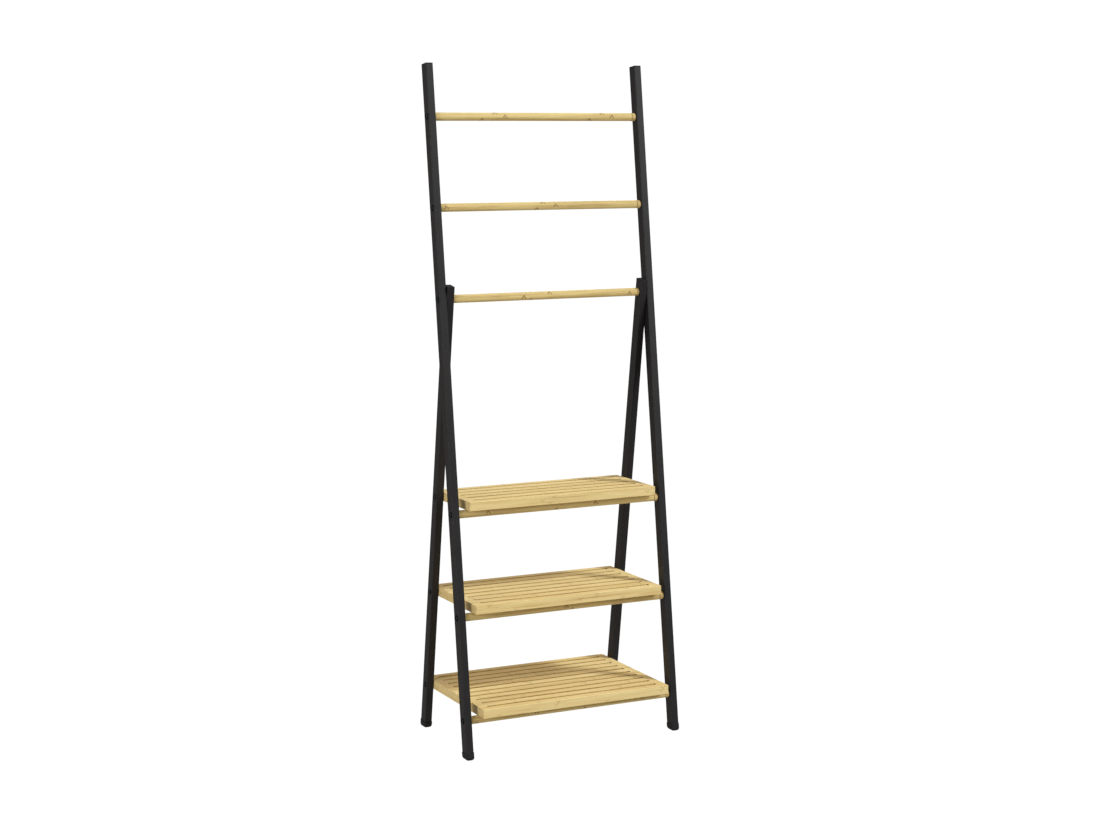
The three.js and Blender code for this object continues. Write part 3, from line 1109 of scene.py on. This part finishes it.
@dataclass(frozen=True)
class Board:
    """A slotted shelf board, level at rest, with eased outer edges and slot rims.

    first_strip and grain_shift give it wood of its own, as on a dowel. strip_gap strips lie
    between those of the faces and those of the edges, and an edge shows as many as plies.
    """

    node: str
    front: float
    rear: float
    top: float
    slots: int
    first_strip: int
    grain_shift: float
    strip_gap: int = 2
    plies: int = 3
    half_width: float = Layers.board_end
    thickness: float = 19.0
    corner: float = 2.0
    easing: float = 1.0
    slot_easing: float = 0.3
    slot_width: float = 7.0
    slot_from_end: float = 18.5
    slot_from_edge: float = 22.5
    border: float = 9.0
    end_steps: int = 16
    easing_steps: int = 4
    corner_steps: int = 6
    run_steps: int = 20

    @property
    def bottom(self) -> float:
        """Height of the underside."""
        return self.top - self.thickness

    @property
    def pitch(self) -> float:
        """Distance from one slot to the next."""
        return (self.rear - self.front - 2 * self.slot_from_edge) / (self.slots - 1)

    @property
    def reach(self) -> float:
        """Where a slot's straight part ends along X."""
        return self.half_width - self.slot_from_end - self.slot_width / 2

    @property
    def inner_x(self) -> float:
        """Where the cells round the slots end along X."""
        return self.half_width - self.border

    def cell_edges(self) -> np.ndarray:
        """The cells' edges along Y: midway between slots, and a border in from the edges."""
        middles = self.front + self.slot_from_edge + (np.arange(1, self.slots) - 0.5) * self.pitch
        return np.concatenate(([self.front + self.border], middles, [self.rear - self.border]))

    def straight(self) -> np.ndarray:
        """Places along X of the points on a slot's straight sides, right to left."""
        return np.linspace(-self.reach, self.reach, self.run_steps + 1)[::-1]

    def overrun(self) -> np.ndarray:
        """Places along X from a slot's straight part to the cells' end, left to right."""
        return np.linspace(self.reach, self.inner_x, self.end_steps // 4 + 1)

    def slot_loop(self, y: float, grow: float) -> np.ndarray:
        """A loop round a slot: straight sides and half circles, a little larger by grow.

        Args:
            y: The slot's middle along Y.
            grow: How far outside the slot's edge the loop lies.

        Returns:
            Points by 2, the first one repeated at the end.
        """
        radius = self.slot_width / 2 + grow
        angle = np.linspace(-QUARTER, QUARTER, self.end_steps + 1)
        cap = pairs(self.reach + radius * np.cos(angle), y + radius * np.sin(angle))
        return turned_loop(np.concatenate((cap, pairs(self.straight(), y + radius))), y)

    def cell_loop(self, low: float, high: float) -> np.ndarray:
        """The rectangle round a slot, with a point for each point of the slot's loop.

        A half circle's points become a quarter out along X, half along Y and a quarter back.

        Args:
            low: The cell's front edge along Y.
            high: Its rear edge.

        Returns:
            Points by 2, the first one repeated at the end.
        """
        out = self.overrun()
        side = np.linspace(low, high, self.end_steps // 2 + 1)
        half = np.concatenate((
            pairs(out, low),
            pairs(self.inner_x, side)[1:],
            pairs(out[::-1], high)[1:],
            pairs(self.straight(), high),
        ))
        return turned_loop(half, (low + high) / 2)

    def border_places(self) -> tuple[np.ndarray, np.ndarray]:
        """Gives the places of the cells' points on the board's border.

        Returns:
            The places along Y on its sides, from the front, and along X, right to left.
        """
        edges = self.cell_edges()
        steps = self.end_steps // 2
        cells = [np.linspace(*ends, steps + 1)[:-1] for ends in zip(edges[:-1], edges[1:])]
        out = self.overrun()
        run = np.concatenate((out[::-1], self.straight()[1:-1], -out))
        return np.concatenate((*cells, edges[-1:])), run

    def inner_loop(self) -> np.ndarray:
        """A loop round the cells, whose corner is repeated for each point of the outline's.

        Returns:
            Points by 2, the first one repeated at the end.
        """
        side, run = self.border_places()
        corner = np.broadcast_to([self.inner_x, side[-1]], (self.corner_steps + 1, 2))
        half = np.concatenate(
            (pairs(self.inner_x, side), corner, pairs(run, side[-1]), corner * [-1, 1])
        )
        return turned_loop(half, (self.front + self.rear) / 2)

    def outline(self, inset: float) -> np.ndarray:
        """The board's outline moved in by inset, with a quarter circle at each corner.

        Args:
            inset: How far inside the board's edge the outline lies.

        Returns:
            Points by 2, the first one repeated at the end.
        """
        side, run = self.border_places()
        middle = (self.front + self.rear) / 2
        end_x, rear_y = self.half_width - inset, (self.rear - self.front) / 2 - inset
        corner = self.corner - inset
        angle = np.linspace(0, QUARTER, self.corner_steps + 1)
        arc_x = end_x - corner + corner * np.cos(angle)
        arc_y = rear_y - corner + corner * np.sin(angle) + middle
        half = np.concatenate((
            pairs(end_x, side),
            pairs(arc_x, arc_y),
            pairs(run, rear_y + middle),
            pairs(-arc_x, arc_y)[::-1],
        ))
        return turned_loop(half, middle)

    def grained(self, patch: Patch, strip: np.ndarray, tone: Tone) -> Patch:
        """Gives a patch wood whose fibres run along X.

        Args:
            patch: The patch.
            strip: The board's strip at each point, from 0.
            tone: How the wood was worked there.

        Returns:
            The patch with its grain.
        """
        along = patch.points[..., 0] / LacqueredBamboo.node_spacing_mm + self.grain_shift
        return Patch(patch.points, pairs(along, strip + self.first_strip), tone)

    def face(self, patch: Patch, tone: Tone = Tone.FACE) -> Patch:
        """A face or slot wall with its grain: its strips lie between the slots' middles."""
        strip = (patch.points[..., 1] - self.front - self.slot_from_edge) / self.pitch
        return self.grained(patch, strip, tone)

    def edge(self, patch: Patch) -> Patch:
        """An edge with its grain: its strips are the plies of the thickness."""
        ply = (patch.points[..., 2] - self.bottom) / self.thickness * self.plies
        return self.grained(patch, ply + self.slots + self.strip_gap, Tone.EDGE)

    def slot_patches(self, y: float, low: float, high: float) -> list[Patch]:
        """Makes the board round one slot: top and underside with eased rims, and the wall, whose long
        sides and round ends are darker as painted shade.

        Args:
            y: The slot's middle along Y.
            low: Its cell's front edge.
            high: Its cell's rear edge.

        Returns:
            The patches.
        """
        grows, drop = quarter_round(self.slot_easing, self.slot_easing, self.easing_steps)
        cell = self.cell_loop(low, high)
        rims = [self.slot_loop(y, grow) for grow in grows]
        wall = loops_to_patch(
            [*rims, *rims[::-1]], [*(self.top - drop), *(self.bottom + drop[::-1])]
        )
        right_end = self.end_steps
        left_start = len(cell) // 2
        left_end = left_start + self.end_steps
        # The long walls and round ends get darker tones: painted shade in the slot.
        parts = (
            (0, right_end, Tone.SLOT_END),
            (right_end, left_start, Tone.ROUTED),
            (left_start, left_end, Tone.SLOT_END),
            (left_end, len(cell) - 1, Tone.ROUTED),
        )
        return [
            self.face(loops_to_patch([cell, rims[0]], [self.top, self.top])),
            *(self.face(Patch(wall.points[:, start:end + 1]), tone) for start, end, tone in parts),
            self.face(loops_to_patch([rims[0], cell], [self.bottom, self.bottom])),
        ]

    def border_patches(self) -> list[Patch]:
        """Makes the board's border, whose edge is a quarter circle above and below.

        Returns:
            A top band, a side band and a bottom band.
        """
        insets, drop = quarter_round(self.easing, self.easing, 2 * self.easing_steps)
        loops = [self.outline(inset) for inset in insets]
        inner = self.inner_loop()
        half = self.easing_steps
        top = loops_to_patch(
            [inner, *loops[:half + 1]], [self.top, *(self.top - drop[:half + 1])]
        )
        side = loops_to_patch(
            [*loops[half:], *loops[:half - 1:-1]],
            [*(self.top - drop[half:]), *(self.bottom + drop[:half - 1:-1])],
        )
        bottom = loops_to_patch(
            [*loops[half::-1], inner], [*(self.bottom + drop[half::-1]), self.bottom]
        )
        return [self.face(top), self.edge(side), self.face(bottom)]

    def build(self, book: Book) -> None:
        """Builds and dresses the board.

        Args:
            book: The finished materials.
        """
        edges = self.cell_edges()
        patches = self.border_patches()
        for index in range(self.slots):
            y = self.front + self.slot_from_edge + index * self.pitch
            patches += self.slot_patches(y, edges[index], edges[index + 1])
        place_piece(self.node, "board", patches, Slot.BAMBOO, book)


def build_shelf_screws(shelf: str, y: float, z: float, book: Book) -> None:
    """Builds a shelf's two screws, seated on the legs' outer faces, and their washers.

    Args:
        shelf: The shelf's node name.
        y: The screws' place along Y.
        z: The screws' height.
        book: The finished materials.
    """
    length = Layers.leg_outer - Layers.board_end + SCREW.grip
    washer = Washer(SCREW.shank)
    level = Placement(0.0, y, z)
    for side in Side:
        seat = level.carry(SCREW.surface(side, length), side.value * Layers.leg_outer)
        place_piece(f"{shelf}_screw_{side.word}", "head", [Patch(seat)], Slot.HARDWARE, book)
        x = side.value * (Layers.leg_inner - washer.thickness / 2)
        ring = level.carry(washer.surface(), x)
        place_piece(f"{shelf}_washer_{side.word}", "ring", [Patch(ring)], Slot.NYLON, book)


@dataclass(frozen=True)
class ShelfPlan:
    """One shelf's own sizes, and where its wood starts in the grain.

    overhang is how far it reaches in front of its rung's middle, and margin how far it
    reaches behind its screws.
    """

    name: str
    top: float
    slots: int
    overhang: float
    margin: float
    first_strip: int
    grain_shift: float

    @property
    def rung_z(self) -> float:
        """The height of its rung's middle."""
        return self.top - Board.thickness - SLIP_GAP - Dowel.radius

    @property
    def screw_z(self) -> float:
        """The height of its screws."""
        return self.top - Board.thickness / 2


@dataclass(frozen=True)
class Rack:
    """The whole rack: ladder, rear frame and three shelves about one pivot line.

    Each dowel of the ladder has strips_apart strips and shift_apart node spacings between
    its wood and the one's before, so that no two show the same grain.
    """

    pivot_y: float
    pivot_z: float = 941.0
    post_lean: float = math.radians(7.2)
    leg_lean: float = math.radians(8.8)
    post_top: float = 484.0
    leg_top: float = 28.0
    upper_rail: float = 375.0
    lower_rail: float = 188.0
    rail_bead: float = 9.5
    hinge_bead: float = 4.5
    strips_apart: int = 20
    shift_apart: float = 0.13
    hinge_first_strip: int = 120
    hinge_grain_shift: float = 0.4
    shelves: tuple[ShelfPlan, ...] = (
        ShelfPlan("top", 529.0, 5, overhang=25.5, margin=29.0, first_strip=200, grain_shift=0.0),
        ShelfPlan("middle", 318.0, 7, overhang=27.0, margin=27.0, first_strip=240, grain_shift=0.36),
        ShelfPlan("bottom", 107.0, 10, overhang=33.5, margin=33.5, first_strip=280, grain_shift=0.72),
    )

    @property
    def ladder_place(self) -> Placement:
        """The ladder leans back, so it is turned the negative way about X."""
        return Placement(-self.post_lean, self.pivot_y, self.pivot_z)

    @property
    def rear_place(self) -> Placement:
        """The rear frame leans forward."""
        return Placement(self.leg_lean, self.pivot_y, self.pivot_z)

    def build_bars(self, book: Book) -> None:
        """Builds posts and legs with their plugs and feet.

        Args:
            book: The finished materials.
        """
        for side in Side:
            post_x = side.value * (Layers.post_outer + Layers.post_inner) / 2
            leg_x = side.value * (Layers.leg_outer + Layers.leg_inner) / 2
            Bar("post", side, post_x, self.ladder_place, self.post_top).build(book)
            Bar("leg", side, leg_x, self.rear_place, self.leg_top).build(book)

    def build_dowels(self, book: Book) -> None:
        """Builds rails and rungs with their bolts, and the washers on the pivot line.

        Args:
            book: The finished materials.
        """
        places = [
            ("upper_towel_rail", self.upper_rail),
            ("lower_towel_rail", self.lower_rail),
            *(
                (f"{shelf.name}_rung", (shelf.rung_z - self.pivot_z) / math.cos(self.post_lean))
                for shelf in self.shelves
            ),
        ]
        for index, (node, z) in enumerate(places):
            Dowel(
                node, self.ladder_place, z, Layers.post_inner, self.rail_bead,
                self.strips_apart * index, self.shift_apart * index,
            ).build(book)
        Dowel(
            "hinge_rail", self.rear_place, 0.0, Layers.leg_inner, self.hinge_bead,
            self.hinge_first_strip, self.hinge_grain_shift,
        ).build(book)
        washer = Washer(BOLT.shank)
        for side in Side:
            x = side.value * (Layers.leg_outer + washer.thickness / 2)
            ring = self.rear_place.carry(washer.surface(), x)
            place_piece(f"hinge_washer_{side.word}", "ring", [Patch(ring)], Slot.NYLON, book)

    def build_shelves(self, book: Book) -> None:
        """Builds the boards with their screws and washers.

        Args:
            book: The finished materials.
        """
        for shelf in self.shelves:
            rung_y = self.pivot_y + (shelf.rung_z - self.pivot_z) * math.tan(self.post_lean)
            screw_y = self.pivot_y + (self.pivot_z - shelf.screw_z) * math.tan(self.leg_lean)
            board = Board(
                f"{shelf.name}_shelf", rung_y - shelf.overhang, screw_y + shelf.margin,
                shelf.top, shelf.slots, shelf.first_strip, shelf.grain_shift,
            )
            board.build(book)
            build_shelf_screws(board.node, screw_y, shelf.screw_z, book)


# Studio, in metres


@dataclass(frozen=True)
class SoftLight:
    """A square soft light that looks at the middle of the rack."""

    name: str
    place: tuple[float, float, float]
    size: float
    power: float
    colour: str = "ffffff"
    target: tuple[float, float, float] = (0.0, 0.0, 0.6)

    def build(self) -> None:
        """Adds the light to the scene."""
        light = bpy.data.lights.new(self.name, "AREA")
        light.shape = "SQUARE"
        light.size = self.size
        light.energy = self.power
        light.color = linear(self.colour)[:3]
        lamp = bpy.data.objects.new(self.name, light)
        lamp.location = self.place
        aim = Vector(self.target) - Vector(self.place)
        lamp.rotation_euler = aim.to_track_quat("-Z", "Y").to_euler()
        bpy.context.scene.collection.objects.link(lamp)


@dataclass(frozen=True)
class Glow:
    """Light of the surroundings that grows towards one direction."""

    towards: tuple[float, float, float]
    strength: float
    start: float = -0.2

    def level(
        self, tree: bpy.types.NodeTree, direction: bpy.types.NodeSocket
    ) -> bpy.types.NodeSocket:
        """Adds the nodes that give this light's strength in a direction.

        The cosine between the direction and the glow's own one goes through a smooth step.

        Args:
            tree: The world's node tree.
            direction: Where a ray looks.

        Returns:
            The strength there.
        """
        facing = add_node(
            tree, "ShaderNodeVectorMath", {0: direction, 1: self.towards},
            operation="DOT_PRODUCT",
        )
        part = add_node(tree, "ShaderNodeMapRange", {
            "Value": facing.outputs["Value"],
            "From Min": self.start,
            "From Max": 1.0,
            "To Min": 0.0,
            "To Max": self.strength,
        }, interpolation_type="SMOOTHSTEP")
        return part.outputs["Result"]


@dataclass(frozen=True)
class Studio:
    """Floor, surroundings, lights and camera."""

    floor_half: float = 30.0
    even: float = 0.2
    tint: str = "fff9f2"
    white: str = "ffffff"
    glows: tuple[Glow, ...] = (
        Glow((0.0, 0.0, 1.0), 0.42),
        Glow((0.0, 0.0, -1.0), 0.32),
        Glow((0.0, -1.0, 0.0), 0.08),
    )
    eye: tuple[float, float, float] = (-1.90314, -3.90220, 1.26282)
    yaw: float = 26.1357
    pitch: float = -7.4897
    roll: float = -0.1868
    focal_px: float = 2061.6
    image_width: int = 1100
    sensor: float = 36.0
    lights: tuple[SoftLight, ...] = (
        SoftLight("Key", (14.0, -14.54, 18.55), size=4.6, power=6100.0, colour="f0f9ff"),
        SoftLight("Fill", (-6.5, -2.4, 1.6), size=3.0, power=250.0),
        SoftLight("Front", (4.63, -5.92, 3.34), size=2.8, power=88.0),
    )

    def build_floor(self) -> None:
        """Adds the floor, which gives the rack neither light nor reflections."""
        side = self.floor_half
        corners = np.array([(-side, -side, 0), (side, -side, 0), (side, side, 0), (-side, side, 0)])
        mesh = bpy.data.meshes.new("Floor")
        mesh.from_pydata(corners, [], np.array([[0, 1, 2, 3]]))
        mesh.materials.append(LitFloor().build())
        floor = bpy.data.objects.new("Floor", mesh)
        floor.visible_diffuse = False
        floor.visible_glossy = False
        bpy.context.scene.collection.objects.link(floor)

    def build_world(self) -> None:
        """Surrounds the rack with soft light in front of a plain white backdrop."""
        world = bpy.data.worlds.new("Studio")
        bpy.context.scene.world = world
        world.use_nodes = True
        tree = world.node_tree
        tree.nodes.clear()
        direction = add_node(tree, "ShaderNodeTexCoord", {}).outputs["Generated"]
        total = self.even
        for glow in self.glows:
            total = add_node(
                tree, "ShaderNodeMath", {0: total, 1: glow.level(tree, direction)},
                operation="ADD",
            ).outputs[0]
        lighting = add_node(
            tree, "ShaderNodeBackground", {"Color": linear(self.tint), "Strength": total}
        )
        backdrop = add_node(
            tree, "ShaderNodeBackground",
            {"Color": linear(self.white), "Strength": WHITE_STRENGTH},
        )
        path = add_node(tree, "ShaderNodeLightPath", {})
        mixed = add_node(
            tree, "ShaderNodeMixShader",
            {0: path.outputs["Is Camera Ray"], 1: lighting.outputs[0], 2: backdrop.outputs[0]},
        )
        add_node(tree, "ShaderNodeOutputWorld", {"Surface": mixed.outputs[0]})

    def build_camera(self) -> None:
        """Adds the camera that the photo was taken from.

        It looks along (sin yaw cos pitch, cos yaw cos pitch, sin pitch), and its right and up
        directions are then turned about that line by roll.
        """
        yaw, pitch, roll = map(math.radians, (self.yaw, self.pitch, self.roll))
        ahead = Vector((
            math.sin(yaw) * math.cos(pitch), math.cos(yaw) * math.cos(pitch), math.sin(pitch)
        ))
        level = Vector((math.cos(yaw), -math.sin(yaw), 0.0))
        above = level.cross(ahead)
        right = level * math.cos(roll) + above * math.sin(roll)
        up = above * math.cos(roll) - level * math.sin(roll)
        lens = bpy.data.cameras.new("Camera")
        lens.sensor_fit = "HORIZONTAL"
        lens.sensor_width = self.sensor
        lens.lens = self.focal_px * self.sensor / self.image_width
        camera = bpy.data.objects.new("Camera", lens)
        axes = Matrix((right, up, -ahead)).transposed()
        camera.matrix_world = Matrix.Translation(self.eye) @ axes.to_4x4()
        bpy.context.scene.collection.objects.link(camera)
        bpy.context.scene.camera = camera

    def build(self) -> None:
        """Builds the whole studio and sets plain colour handling."""
        self.build_floor()
        self.build_world()
        for light in self.lights:
            light.build()
        self.build_camera()
        view = bpy.context.scene.view_settings
        view.view_transform = "Standard"
        view.look = "None"


def main() -> None:
    """Builds the rack and its studio in order."""
    logging.basicConfig(level=logging.INFO, format="%(message)s")
    low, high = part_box("hinge_rail")
    rack = Rack(pivot_y=(low.y + high.y) / 2 / MM)
    book = {key: finish.build() for key, finish in FINISHES.items()}
    rack.build_bars(book)
    rack.build_dowels(book)
    rack.build_shelves(book)
    Studio().build()


if __name__ == "__main__":
    main()
